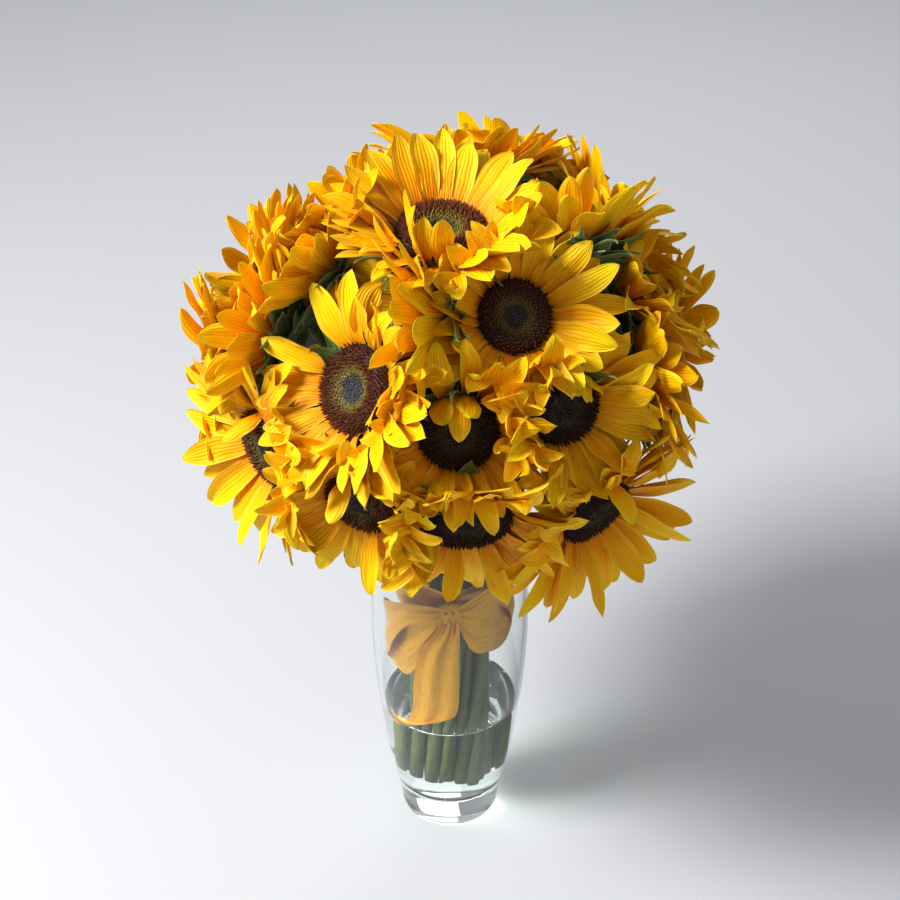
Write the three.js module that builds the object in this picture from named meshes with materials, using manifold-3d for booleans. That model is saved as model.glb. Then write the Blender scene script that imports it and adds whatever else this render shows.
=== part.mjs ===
// Sunflowers in a glass vase, tied with a satin ribbon. Millimetres, +Z up.
// The origin is the centre of the vase's flat bottom.
import * as THREE from 'three';
import { mergeVertices } from 'three/addons/utils/BufferGeometryUtils.js';
import Module from 'manifold-3d';

const wasm = await Module();
wasm.setup();

// driving dimensions
const GAP = 0.3; // clearance left between touching pieces
const TOLERANCE = 0.02; // slivers thinner than this are closed up when solids are cut
const UP = new THREE.Vector3(0, 0, 1);

// vase: outer radius at each height, wall thickness and inner floor
const FOOT_RADIUS = 31;
const VASE_OUTSIDE = [
  [4, 33.4], [15, 35], [35, 39], [57, 43.6], [80, 46.6],
  [105, 49.8], [130, 51.8], [156, 53], [190, 52.6], [233, 50],
];
const VASE_HEIGHT = 235;
const LIP_BEVEL = 0.7;
const WALL = 3;
const FLOOR_HEIGHT = 22;
const FLOOR_FILLET = 5;
const FOOT_CLEARANCE = 14; // the bunch hangs by its heads, so the cut ends stay off the floor
const VASE_SEGMENTS = 28;
const WATER_LEVEL = 95;

// bunch: stems reach down near the vase floor in a hexagonal pattern and are tied near the rim
const STEM_PITCH = 9.1;
const STEM_RADIUS = 4.1;
const NECK_RADIUS = 3.4;
const STEM_SIDES = 6;
const STEM_STEPS = 8;
const STEM_SAMPLES = 46;
const STEM_FIXED = 21; // samples from the feet to the tie
const STEM_INTO_CUP = 6; // how deep the stem runs into the green cup
const PATTERN_REACH = 2.8; // pitches from the middle to where the outermost flowers' stems stand
const TIE_HEIGHT = 205;
const TIE_SPREAD = 1.12; // the pattern is this much wider at the tie than at the feet
const TWIST = 38; // degrees that the bunch turns between the feet and the tie
const RISE_SHARE = 0.42; // how far up its fan a stem keeps rising straight from the tie
const NECK_SHARE = 0.24; // and how far below the head it bends towards it
const NECK_SAMPLES = 4; // samples at the head that stay put
const SETTLE_ROUNDS = 160;
const SETTLE_LAST = 12; // the last rounds only push, without smoothing
const SETTLE_SPACING = 9.1;
const SMOOTHING = 0.4;

// dome of flower heads
const DOME_HEIGHT = 369;
const RECEPTACLE_DEPTH = 21;
const RECEPTACLE_RIM = 3; // how far the green cup stands out past the seed disc
const HEAD_SEGMENTS = 9;
const PETAL_COUNT = 10;
const PETAL_LENGTH = 47;
const NOTCH_DEPTH = 13;
const PETAL_FOOT = -7; // where the petals leave the cup, behind the disc's face
const PETAL_THICKNESS = 2.2;
const PETAL_RISE = 17; // how far the petal tips stand in front of the disc

// ribbon: the band round the stems, and the slice of round wall that each part of the bow fills
// (radii, degrees from the front towards +X, heights)
const RIBBON_THICKNESS = 1.6;
const WRAP_RADIUS = 36.3;
const WRAP_LOW = 186;
const WRAP_HIGH = 222;
const WRAP_FLARE = 1; // the band is this much wider at its upper edge
const BOW = {
  ribbon_knot: { radii: [39.2, 46.6], angles: [-8, 8], heights: [188, 208] },
  bow_loop_left: { radii: [39.2, 47.2], angles: [-68, -9], heights: [160, 206] },
  bow_loop_right: { radii: [39.2, 47.2], angles: [9, 68], heights: [166, 214] },
  ribbon_tail: { radii: [40.4, 44], angles: [-30, 6], heights: [97, 158] },
};

// colours and roughness
const GLASS = { color: '#dfe8e6', roughness: 0.03, opacity: 0.3 };
const WATER = { color: '#cfd8cf', roughness: 0.02, opacity: 0.3 };
const GREEN = { color: '#55752f', roughness: 0.6 };
const YELLOW = { color: '#f4b40c', roughness: 0.55 };
const SATIN = { color: '#c98a2c', roughness: 0.4 };

// Each flower: where its disc centre sits on the dome (degrees from the top, degrees round
// from the front towards +X), which way it faces, its disc radius and its distance out.
const FLOWERS = [
  { place: [27, -5], face: [10, -10], disc: 26.5, reach: 143 },
  { place: [50, 20], face: [52, 14], disc: 21.5, reach: 143 },
  { place: [68, -25], face: [62, -48], disc: 26, reach: 143 },
  { place: [76, 2], face: [80, 2], disc: 23, reach: 143 },
  { place: [74, 29], face: [78, 25], disc: 22, reach: 143 },
  { place: [94, -52], face: [96, -57], disc: 24, reach: 143 },
  { place: [98, -22], face: [105, -26], disc: 22, reach: 144 },
  { place: [101, 4], face: [112, 4], disc: 27, reach: 143 },
  { place: [108, 40], face: [110, 40], disc: 24, reach: 145 },
  { place: [49, -10], face: [80, -74], disc: 23, reach: 131 },
  { place: [68, -66], face: [80, -108], disc: 24, reach: 126 },
  { place: [42, -62], face: [60, -118], disc: 24, reach: 120 },
  { place: [24, 165], face: [30, 178], disc: 24, reach: 120 },
  { place: [38, 56], face: [46, -168], disc: 23, reach: 136 },
  { place: [60, 74], face: [60, 104], disc: 24, reach: 131 },
  { place: [77, 62], face: [80, 100], disc: 24, reach: 136 },
  { place: [58, 112], face: [58, 114], disc: 25, reach: 131 },
  { place: [57, 154], face: [57, 155], disc: 26, reach: 124 },
  { place: [74, -156], face: [72, -156], disc: 25, reach: 122 },
  { place: [82, -112], face: [80, -112], disc: 25, reach: 126 },
  { place: [47, -124], face: [46, -124], disc: 25, reach: 110 },
  { place: [96, -92], face: [98, -94], disc: 24, reach: 143 },
  { place: [92, -130], face: [94, -130], disc: 25, reach: 143 },
  { place: [88, -174], face: [90, -174], disc: 25, reach: 143 },
  { place: [90, 144], face: [92, 144], disc: 25, reach: 143 },
  { place: [96, 104], face: [98, 102], disc: 24, reach: 143 },
];

// small helpers
const radians = THREE.MathUtils.degToRad;

function direction(fromTop, fromFront) {
  const tilt = radians(fromTop);
  const turn = radians(fromFront);
  return new THREE.Vector3(
    Math.sin(tilt) * Math.sin(turn), -Math.sin(tilt) * Math.cos(turn), Math.cos(tilt));
}

// a closed geometry becomes a solid that can be joined and cut
function solidOf(geometry, matrix) {
  const bare = geometry.index ? geometry.toNonIndexed() : geometry.clone();
  bare.deleteAttribute('normal');
  bare.deleteAttribute('uv');
  if (matrix) bare.applyMatrix4(matrix);
  const merged = mergeVertices(bare, 1e-4);
  const corners = merged.index.array;
  const kept = [];
  for (let i = 0; i < corners.length; i += 3) {
    const [a, b, c] = [corners[i], corners[i + 1], corners[i + 2]];
    if (a !== b && b !== c && a !== c) kept.push(a, b, c);
  }
  return new wasm.Manifold(new wasm.Mesh({
    numProp: 3,
    vertProperties: new Float32Array(merged.attributes.position.array),
    triVerts: new Uint32Array(kept),
    tolerance: TOLERANCE,
  }));
}

// the largest connected body of a cut solid
function largestBody(solid) {
  return solid.decompose().sort((a, b) => b.volume() - a.volume())[0];
}

function geometryOf(solid) {
  const { vertProperties, triVerts } = solid.getMesh();
  const geometry = new THREE.BufferGeometry();
  geometry.setAttribute('position', new THREE.BufferAttribute(vertProperties, 3));
  geometry.setIndex(new THREE.BufferAttribute(triVerts, 1));
  geometry.computeVertexNormals();
  return geometry;
}

function latheSolid(profile, segments) {
  const points = profile.map(([radius, height]) => new THREE.Vector2(radius, height));
  return solidOf(new THREE.LatheGeometry(points, segments), new THREE.Matrix4().makeRotationX(Math.PI / 2));
}

const group = new THREE.Group();

function addMesh(name, solid, look) {
  const material = new THREE.MeshStandardMaterial({ ...look, metalness: 0 });
  material.transparent = material.opacity < 1;
  const mesh = new THREE.Mesh(geometryOf(solid), material);
  mesh.name = name;
  group.add(mesh);
}

// vase and water
function vaseRadiusAt(height) {
  const profile = [[0, FOOT_RADIUS], ...VASE_OUTSIDE, [VASE_HEIGHT, VASE_OUTSIDE.at(-1)[1]]];
  const above = profile.findIndex(([level]) => level >= height);
  const [lowLevel, lowRadius] = profile[Math.max(above - 1, 0)];
  const [highLevel, highRadius] = profile[above];
  const share = highLevel > lowLevel ? (height - lowLevel) / (highLevel - lowLevel) : 0;
  return lowRadius + (highRadius - lowRadius) * share;
}

// inside of the vase from the rim down to the floor, ending on the axis
function insideProfile(top, shrink) {
  const floor = FLOOR_HEIGHT + shrink;
  const levels = VASE_OUTSIDE.map(([level]) => level)
    .filter((level) => level > floor + FLOOR_FILLET && level < top);
  const wall = [top, ...levels.reverse()].map((level) => [vaseRadiusAt(level) - WALL - shrink, level]);
  const corner = vaseRadiusAt(floor + FLOOR_FILLET) - WALL - shrink;
  const fillet = [0, 30, 60, 90].map((angle) => [
    corner - FLOOR_FILLET * (1 - Math.cos(radians(angle))),
    floor + FLOOR_FILLET * (1 - Math.sin(radians(angle))),
  ]);
  return [...wall, ...fillet, [0, floor]];
}

function buildVase() {
  const outside = [[0, 0], [FOOT_RADIUS, 0], ...VASE_OUTSIDE.map(([level, radius]) => [radius, level])];
  const rimRadius = VASE_OUTSIDE.at(-1)[1];
  const lip = [[rimRadius - LIP_BEVEL, VASE_HEIGHT], [rimRadius - WALL + LIP_BEVEL, VASE_HEIGHT]];
  return latheSolid([...outside, ...lip, ...insideProfile(VASE_OUTSIDE.at(-1)[0], 0)], VASE_SEGMENTS);
}

// stems: slots of the hexagonal pattern, nearest the middle first
function stemSlots(count) {
  const slots = [];
  for (let q = -3; q <= 3; q += 1) {
    for (let r = -3; r <= 3; r += 1) {
      slots.push(new THREE.Vector2(STEM_PITCH * (q + r / 2), STEM_PITCH * r * Math.sqrt(3) / 2));
    }
  }
  // a small lean settles which of the equally distant slots come first
  const order = (slot) => slot.length() + 0.02 * Math.abs(Math.sin(3 * slot.angle() + 0.4));
  return slots.sort((a, b) => order(a) - order(b)).slice(0, count);
}

function headFrame(flower) {
  const out = direction(...flower.place);
  const centre = out.clone().multiplyScalar(flower.reach).add(new THREE.Vector3(0, 0, DOME_HEIGHT));
  const facing = direction(...flower.face);
  const turn = new THREE.Quaternion().setFromUnitVectors(UP, facing);
  const matrix = new THREE.Matrix4().compose(centre, turn, new THREE.Vector3(1, 1, 1));
  return { ...flower, centre, facing, matrix };
}

// Lowest heads choose first, each taking the free slot furthest out towards its own side.
function giveSlots(heads) {
  const free = stemSlots(heads.length);
  const lowestFirst = [...heads].sort((a, b) => a.centre.z - b.centre.z);
  for (const head of lowestFirst) {
    const side = new THREE.Vector2(head.centre.x, head.centre.y);
    const pull = side.length() / head.reach;
    side.normalize().multiplyScalar(STEM_PITCH * PATTERN_REACH * pull);
    free.sort((a, b) => a.distanceTo(side) - b.distanceTo(side));
    head.slot = free.shift();
  }
}

// points along a stem: spiralling up through the vase, then fanning out to the back of the head
function stemRoute(head) {
  const turned = (share) => {
    const spread = 1 + (TIE_SPREAD - 1) * share;
    const spot = head.slot.clone().rotateAround(new THREE.Vector2(), radians(TWIST * (share - 1)));
    return new THREE.Vector3(spot.x * spread, spot.y * spread, 0);
  };
  const foot = FLOOR_HEIGHT + FOOT_CLEARANCE;
  const points = [];
  for (let k = 0; k < STEM_FIXED; k += 1) {
    const share = k / (STEM_FIXED - 1);
    points.push(turned(share).setZ(foot + (TIE_HEIGHT - foot) * share));
  }
  const tie = points.at(-1);
  const rising = tie.clone().sub(points.at(-2)).normalize();
  const end = head.centre.clone().addScaledVector(head.facing, STEM_INTO_CUP - RECEPTACLE_DEPTH);
  const span = end.distanceTo(tie);
  const fan = new THREE.CubicBezierCurve3(
    tie, tie.clone().addScaledVector(rising, span * RISE_SHARE),
    end.clone().addScaledVector(head.facing, -span * NECK_SHARE), end);
  const upperSamples = STEM_SAMPLES - STEM_FIXED;
  for (let k = 1; k <= upperSamples; k += 1) points.push(fan.getPointAt(k / upperSamples));
  return points;
}

// Crossing stems push each other aside until they only touch; feet, tie and necks stay put.
function settle(routes) {
  const last = STEM_SAMPLES - NECK_SAMPLES;
  for (let round = 0; round < SETTLE_ROUNDS; round += 1) {
    for (let i = 0; i < routes.length; i += 1) {
      for (let j = i + 1; j < routes.length; j += 1) {
        for (let k = STEM_FIXED; k < STEM_SAMPLES; k += 1) {
          for (let m = STEM_FIXED; m < STEM_SAMPLES; m += 1) {
            const apart = routes[i][k].clone().sub(routes[j][m]);
            const distance = apart.length();
            if (distance >= SETTLE_SPACING || distance < 1e-6) continue;
            apart.multiplyScalar(0.5 * (SETTLE_SPACING - distance) / distance);
            if (k < last) routes[i][k].add(apart);
            if (m < last) routes[j][m].sub(apart);
          }
        }
      }
    }
    if (round > SETTLE_ROUNDS - SETTLE_LAST) continue;
    for (const route of routes) {
      for (let k = STEM_FIXED; k < last; k += 1) {
        const middle = route[k - 1].clone().add(route[k + 1]).multiplyScalar(0.5);
        route[k].lerp(middle, SMOOTHING);
      }
    }
  }
}

function polygon(radius, sides) {
  const corners = [];
  for (let k = 0; k < sides; k += 1) {
    const angle = 2 * Math.PI * k / sides;
    corners.push(new THREE.Vector2(radius * Math.cos(angle), radius * Math.sin(angle)));
  }
  return new THREE.Shape(corners);
}

function stemSolid(route, extra = 0) {
  const path = new THREE.CatmullRomCurve3(route);
  const tube = new THREE.ExtrudeGeometry(polygon(STEM_RADIUS + extra, STEM_SIDES), {
    steps: STEM_STEPS, extrudePath: path, bevelEnabled: false });
  return solidOf(tube);
}

// flower head: a green cup with the seed disc on its front, round the head's own +Z
function receptacleSolid(head, extra = 0) {
  const rim = head.disc + RECEPTACLE_RIM + extra;
  return latheSolid([
    [0, -RECEPTACLE_DEPTH - extra], [NECK_RADIUS + 2 + extra, -RECEPTACLE_DEPTH - extra],
    [head.disc * 0.7 + extra, -12 - extra], [rim, -5], [head.disc * 0.85, 1.6 + extra], [0, 2 + extra],
  ], HEAD_SEGMENTS).transform([...head.matrix.elements]);
}

// ring of ray petals: a thin cupped dish with a notched edge and a hole for the disc
function petalRing(head) {
  const inner = head.disc + RECEPTACLE_RIM + 3 * GAP;
  const steps = PETAL_COUNT * 2;
  const positions = [];
  const rings = [[0, PETAL_FOOT], [0, PETAL_FOOT + PETAL_THICKNESS], [1, PETAL_RISE]];
  for (const [edge, lift] of rings) {
    for (let k = 0; k < steps; k += 1) {
      const angle = 2 * Math.PI * k / steps;
      const outer = head.disc + PETAL_LENGTH - (k % 2) * NOTCH_DEPTH;
      const radius = edge ? outer : inner;
      positions.push(radius * Math.cos(angle), radius * Math.sin(angle), lift);
    }
  }
  const corners = [];
  for (let ring = 0; ring < rings.length; ring += 1) {
    const next = (ring + 1) % rings.length;
    for (let k = 0; k < steps; k += 1) {
      const [a, b] = [ring * steps + k, ring * steps + (k + 1) % steps];
      const [c, d] = [next * steps + k, next * steps + (k + 1) % steps];
      // each quad is split towards its petal tip, alike in front and behind
      if ((k % 2 === 0) === (ring === 2)) corners.push(a, c, d, a, d, b);
      else corners.push(a, c, b, b, c, d);
    }
  }
  const geometry = new THREE.BufferGeometry();
  geometry.setAttribute('position', new THREE.Float32BufferAttribute(positions, 3));
  geometry.setIndex(corners);
  return solidOf(geometry, head.matrix);
}

// everything nearer to the neighbour than to this head
function neighbourSide(head, neighbour) {
  const size = 400;
  const towards = neighbour.centre.clone().sub(head.centre);
  const start = towards.length() / 2 - GAP / 2;
  towards.normalize();
  const turn = new THREE.Quaternion().setFromUnitVectors(UP, towards);
  const middle = head.centre.clone().addScaledVector(towards, start + size / 2);
  const matrix = new THREE.Matrix4().compose(middle, turn, new THREE.Vector3(1, 1, 1));
  return solidOf(new THREE.BoxGeometry(size, size, size), matrix);
}

// ribbon: one part of the bow
function bowSlice({ radii, angles, heights }) {
  const shape = new THREE.Shape();
  const [start, stop] = angles.map((angle) => radians(angle - 90));
  shape.absarc(0, 0, radii[1], start, stop, false);
  shape.absarc(0, 0, radii[0], stop, start, true);
  const depth = heights[1] - heights[0];
  const slab = new THREE.ExtrudeGeometry(shape, { depth, bevelEnabled: false, curveSegments: 5 });
  slab.translate(0, 0, heights[0]);
  return solidOf(slab);
}

function wrapSolid() {
  const outer = WRAP_RADIUS + RIBBON_THICKNESS;
  return latheSolid([
    [WRAP_RADIUS, WRAP_LOW], [outer, WRAP_LOW], [outer + WRAP_FLARE, WRAP_HIGH],
    [WRAP_RADIUS + WRAP_FLARE, WRAP_HIGH], [WRAP_RADIUS, WRAP_LOW],
  ], VASE_SEGMENTS);
}

// assembly
addMesh('vase', buildVase(), GLASS);

const heads = FLOWERS.map(headFrame);
giveSlots(heads);
const routes = heads.map(stemRoute);
settle(routes);

const waterOutline = [[0, WATER_LEVEL], ...insideProfile(WATER_LEVEL, GAP)];
let water = latheSolid(waterOutline.reverse(), VASE_SEGMENTS);
for (const route of routes) water = water.subtract(stemSolid(route, GAP));
addMesh('water', largestBody(water), WATER);

heads.forEach((head, index) => {
  const number = String(index + 1).padStart(2, '0');
  const flower = stemSolid(routes[index]).add(receptacleSolid(head));
  addMesh(`stem_${number}`, flower, GREEN);

  let petals = petalRing(head);
  heads.forEach((other, otherIndex) => {
    if (other === head) return;
    petals = petals.subtract(neighbourSide(head, other));
    petals = petals.subtract(receptacleSolid(other, GAP));
    petals = petals.subtract(stemSolid(routes[otherIndex], GAP));
  });
  addMesh(`petals_${number}`, largestBody(petals), YELLOW);
});

addMesh('ribbon_wrap', wrapSolid(), SATIN);
for (const [name, slice] of Object.entries(BOW)) addMesh(name, bowSlice(slice), SATIN);

export default group;
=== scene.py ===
import bpy
import math
import numpy as np
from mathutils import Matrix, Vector


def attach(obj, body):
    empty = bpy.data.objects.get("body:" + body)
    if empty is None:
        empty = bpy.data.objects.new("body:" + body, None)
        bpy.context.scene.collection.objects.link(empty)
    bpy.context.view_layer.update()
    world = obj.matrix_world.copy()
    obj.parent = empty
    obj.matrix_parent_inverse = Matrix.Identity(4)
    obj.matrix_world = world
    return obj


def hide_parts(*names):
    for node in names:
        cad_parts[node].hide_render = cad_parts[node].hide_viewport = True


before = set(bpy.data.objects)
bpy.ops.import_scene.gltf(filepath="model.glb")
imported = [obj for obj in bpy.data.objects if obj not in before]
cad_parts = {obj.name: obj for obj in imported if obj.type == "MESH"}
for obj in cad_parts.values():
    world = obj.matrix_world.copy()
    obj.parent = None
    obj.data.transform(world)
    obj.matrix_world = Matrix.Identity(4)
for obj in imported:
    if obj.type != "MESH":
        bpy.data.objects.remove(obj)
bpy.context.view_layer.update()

bpy.ops.object.select_all(action="DESELECT")
mm = 0.001
pi = math.pi


# camera, light and floor
stage = {
    "cameraPlace": (0.0, -1.272, 1.164),
    "cameraTilt": 55.76,           # degrees up from looking straight down
    "lens": 95.3,
    "floorSize": 8.0,
    "keyPlace": (-1.15, -0.45, 1.5),
    "lightsAim": (0, 0, 0.33),
    "keySize": 0.5,
    "keyPower": 45.0,
    "fillPlace": (1.2, -1.3, 0.6),
    "fillSize": 1.2,
    "fillPower": 2.0,
    "backPlace": (0.3, 1.3, 1.1),
    "backSize": 1.0,
    "backPower": 5.0,
    "worldStrength": 0.33,
}


def areaLight(name, place, size, power):
    bpy.ops.object.light_add(type="AREA", location=place)
    light = bpy.context.object
    light.name = name
    light.data.size = size
    light.data.energy = power
    aim = Vector(stage["lightsAim"]) - Vector(place)
    light.rotation_euler = aim.to_track_quat("-Z", "Y").to_euler()


def makeStage():
    bpy.context.scene.view_settings.view_transform = "Standard"
    bpy.ops.object.camera_add(
        location=stage["cameraPlace"], rotation=(math.radians(stage["cameraTilt"]), 0, 0))
    camera = bpy.context.object
    camera.data.lens = stage["lens"]
    camera.data.sensor_width = 36
    bpy.context.scene.camera = camera
    areaLight("keyLight", stage["keyPlace"], stage["keySize"], stage["keyPower"])
    areaLight("fillLight", stage["fillPlace"], stage["fillSize"], stage["fillPower"])
    areaLight("backLight", stage["backPlace"], stage["backSize"], stage["backPower"])
    world = bpy.data.worlds.new("studio")
    bpy.context.scene.world = world
    world.use_nodes = True
    background = world.node_tree.nodes["Background"]
    background.inputs["Color"].default_value = (0.93, 0.95, 1.0, 1)
    background.inputs["Strength"].default_value = stage["worldStrength"]
    bpy.ops.mesh.primitive_plane_add(size=stage["floorSize"], location=(0, 1.5, 0))
    floor = bpy.context.object
    floor.name = "studioFloor"
    paper = bpy.data.materials.new("studioPaper")
    paper.use_nodes = True
    bsdf = paper.node_tree.nodes["Principled BSDF"]
    bsdf.inputs["Base Color"].default_value = (0.62, 0.63, 0.65, 1)
    bsdf.inputs["Roughness"].default_value = 0.75
    floor.data.materials.append(paper)
    bpy.ops.object.select_all(action="DESELECT")


makeStage()
print("stage ready")


# node helpers
def newMaterial(name):
    material = bpy.data.materials.new(name)
    material.use_nodes = True
    tree = material.node_tree
    return material, tree, tree.nodes["Principled BSDF"]


def addNode(tree, kind, values=None, **settings):
    node = tree.nodes.new(kind)
    for key, value in settings.items():
        setattr(node, key, value)
    for key, value in (values or {}).items():
        node.inputs[key].default_value = value
    return node


def link(tree, source, target):
    tree.links.new(source, target)


def mathNode(tree, operation, first, second=None, third=None, clamp=False):
    node = addNode(tree, "ShaderNodeMath", operation=operation, use_clamp=clamp)
    for slot, value in enumerate((first, second, third)):
        if value is None:
            continue
        if isinstance(value, (int, float)):
            node.inputs[slot].default_value = value
        else:
            link(tree, value, node.inputs[slot])
    return node.outputs[0]


def mixColor(tree, factor, first, second, blend="MIX"):
    node = addNode(tree, "ShaderNodeMix", data_type="RGBA", blend_type=blend)
    for socket, value in ((node.inputs[0], factor), (node.inputs[6], first), (node.inputs[7], second)):
        if isinstance(value, (int, float)):
            socket.default_value = value
        elif isinstance(value, tuple):
            socket.default_value = (*value, 1)
        else:
            link(tree, value, socket)
    return node.outputs[2]


def ramp(tree, factor, stops):
    node = addNode(tree, "ShaderNodeValToRGB")
    elements = node.color_ramp.elements
    while len(elements) > 1:
        elements.remove(elements[-1])
    for index, (place, color) in enumerate(stops):
        element = elements[0] if index == 0 else elements.new(place)
        element.position = place
        element.color = (*color, 1)
    link(tree, factor, node.inputs["Fac"])
    return node.outputs["Color"]


def attributeValue(tree, name):
    return addNode(tree, "ShaderNodeAttribute", attribute_name=name).outputs["Fac"]


def objectNoise(tree, scale, detail, stretch=(1, 1, 1)):
    coordinates = addNode(tree, "ShaderNodeTexCoord")
    mapping = addNode(tree, "ShaderNodeMapping")
    mapping.inputs["Scale"].default_value = stretch
    link(tree, coordinates.outputs["Object"], mapping.inputs["Vector"])
    noise = addNode(tree, "ShaderNodeTexNoise", {"Scale": scale, "Detail": detail})
    link(tree, mapping.outputs["Vector"], noise.inputs["Vector"])
    return noise.outputs["Fac"]


def bumpFrom(tree, height, strength, distance, bsdf):
    bump = addNode(tree, "ShaderNodeBump", {"Strength": strength, "Distance": distance})
    link(tree, height, bump.inputs["Height"])
    link(tree, bump.outputs["Normal"], bsdf.inputs["Normal"])


# lengthwise veins for petals and bracts: UV runs across the leaf in X and along it in Y
def makeVeinGroup():
    group = bpy.data.node_groups.new("leafVeins", "ShaderNodeTree")
    face = group.interface
    face.new_socket("Veins", in_out="INPUT", socket_type="NodeSocketFloat").default_value = 5.0
    face.new_socket("Wander", in_out="INPUT", socket_type="NodeSocketFloat").default_value = 0.1
    face.new_socket("Offset", in_out="INPUT", socket_type="NodeSocketFloat")
    face.new_socket("Vein", in_out="OUTPUT", socket_type="NodeSocketFloat")
    face.new_socket("Along", in_out="OUTPUT", socket_type="NodeSocketFloat")
    face.new_socket("Edge", in_out="OUTPUT", socket_type="NodeSocketFloat")
    inside = group.nodes.new("NodeGroupInput")
    outside = group.nodes.new("NodeGroupOutput")
    uv = addNode(group, "ShaderNodeTexCoord").outputs["UV"]
    parts = addNode(group, "ShaderNodeSeparateXYZ")
    link(group, uv, parts.inputs[0])
    across = mathNode(group, "MULTIPLY_ADD", parts.outputs["X"], 2.0, -1.0)
    along = parts.outputs["Y"]
    wobble = addNode(group, "ShaderNodeTexNoise", {"Scale": 3.0, "Detail": 1.0})
    shift = addNode(group, "ShaderNodeCombineXYZ")
    link(group, mathNode(group, "MULTIPLY", across, 0.6), shift.inputs["X"])
    link(group, mathNode(group, "MULTIPLY", along, 1.2), shift.inputs["Y"])
    link(group, inside.outputs["Offset"], shift.inputs["Z"])
    link(group, shift.outputs[0], wobble.inputs["Vector"])
    bent = mathNode(group, "SUBTRACT", wobble.outputs["Fac"], 0.5)
    bent = mathNode(group, "MULTIPLY_ADD", bent, inside.outputs["Wander"], across)
    angle = mathNode(group, "MULTIPLY", bent, inside.outputs["Veins"])
    wave = mathNode(group, "COSINE", mathNode(group, "MULTIPLY", angle, 2 * pi))
    wave = mathNode(group, "MULTIPLY_ADD", wave, 0.5, 0.5)
    sharp = mathNode(group, "POWER", wave, 2.2)
    link(group, sharp, outside.inputs["Vein"])
    link(group, along, outside.inputs["Along"])
    edge = mathNode(group, "POWER", mathNode(group, "ABSOLUTE", across), 7.0)
    link(group, edge, outside.inputs["Edge"])
    return group


veinGroup = makeVeinGroup()


def veins(tree, count, wander, offset):
    node = addNode(tree, "ShaderNodeGroup")
    node.node_tree = veinGroup
    node.inputs["Veins"].default_value = count
    node.inputs["Wander"].default_value = wander
    link(tree, offset, node.inputs["Offset"])
    return node


# materials
def petalYellow():
    material, tree, bsdf = newMaterial("petalYellow")
    tone = attributeValue(tree, "tone")
    vein = veins(tree, 3.5, 0.25, tone)
    body = ramp(tree, vein.outputs["Along"], [
        (0.0, (0.74, 0.20, 0.0)), (0.14, (0.92, 0.35, 0.0)),
        (0.4, (0.97, 0.51, 0.0)), (0.8, (1.0, 0.60, 0.001)), (1.0, (1.0, 0.67, 0.008))])
    deep = mixColor(tree, tone, (1.0, 0.80, 0.6), (1.0, 1.08, 1.0))
    color = mixColor(tree, 1.0, body, deep, "MULTIPLY")
    groove = mathNode(tree, "MULTIPLY", vein.outputs["Vein"], 0.24)
    color = mixColor(tree, groove, color, (0.80, 0.27, 0.0))
    # painted highlight: the petal's thin edges are painted a paler yellow, as if light catches them
    rim = mathNode(tree, "MULTIPLY", vein.outputs["Edge"], 0.55)
    color = mixColor(tree, rim, color, (1.0, 0.80, 0.05))
    blotch = objectNoise(tree, 95.0, 3.0)
    blotch = mathNode(tree, "MULTIPLY_ADD", blotch, 0.5, -0.12, clamp=True)
    color = mixColor(tree, mathNode(tree, "MULTIPLY", blotch, 0.4), color, (0.88, 0.40, 0.001))
    link(tree, color, bsdf.inputs["Base Color"])
    rough = mathNode(tree, "MULTIPLY_ADD", blotch, 0.25, 0.46)
    link(tree, rough, bsdf.inputs["Roughness"])
    bsdf.inputs["Specular IOR Level"].default_value = 0.14
    bsdf.inputs["Subsurface Weight"].default_value = 0.2
    bsdf.inputs["Subsurface Radius"].default_value = (1.0, 0.55, 0.05)
    bsdf.inputs["Subsurface Scale"].default_value = 0.0022
    height = mathNode(tree, "MULTIPLY_ADD", blotch, 0.25, vein.outputs["Vein"])
    bumpFrom(tree, height, 0.7, 0.0004, bsdf)
    return material


def discFlorets():
    material, tree, bsdf = newMaterial("discFlorets")
    ring = attributeValue(tree, "ring")
    tip = attributeValue(tree, "tip")
    ripeAndShade = attributeValue(tree, "tone")
    base = ramp(tree, ring, [
        (0.0, (0.012, 0.013, 0.018)), (0.30, (0.016, 0.016, 0.018)), (0.40, (0.10, 0.085, 0.018)),
        (0.50, (0.13, 0.075, 0.014)), (0.62, (0.07, 0.018, 0.006)), (1.0, (0.04, 0.008, 0.004))])
    top = ramp(tree, ring, [
        (0.0, (0.10, 0.11, 0.14)), (0.28, (0.12, 0.13, 0.12)), (0.38, (0.36, 0.30, 0.05)),
        (0.50, (0.42, 0.26, 0.03)), (0.62, (0.27, 0.075, 0.016)), (0.85, (0.22, 0.05, 0.012)),
        (1.0, (0.12, 0.024, 0.008))])
    color = mixColor(tree, tip, base, top)
    # painted shade and ripeness: the disc is darkened towards near-black by its darkness value, most of all
    # on the discs that sit in shadow
    color = mixColor(tree, mathNode(tree, "MULTIPLY", ripeAndShade, 0.78), color, (0.016, 0.006, 0.005))
    speck = objectNoise(tree, 900.0, 2.0)
    color = mixColor(tree, mathNode(tree, "MULTIPLY", speck, 0.25), color, (0.0, 0.0, 0.0))
    link(tree, color, bsdf.inputs["Base Color"])
    link(tree, mathNode(tree, "MULTIPLY_ADD", speck, 0.3, 0.5), bsdf.inputs["Roughness"])
    bsdf.inputs["Specular IOR Level"].default_value = 0.3
    bsdf.inputs["Sheen Weight"].default_value = 0.15
    bsdf.inputs["Sheen Roughness"].default_value = 0.4
    bumpFrom(tree, speck, 0.4, 0.0003, bsdf)
    return material


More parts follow.
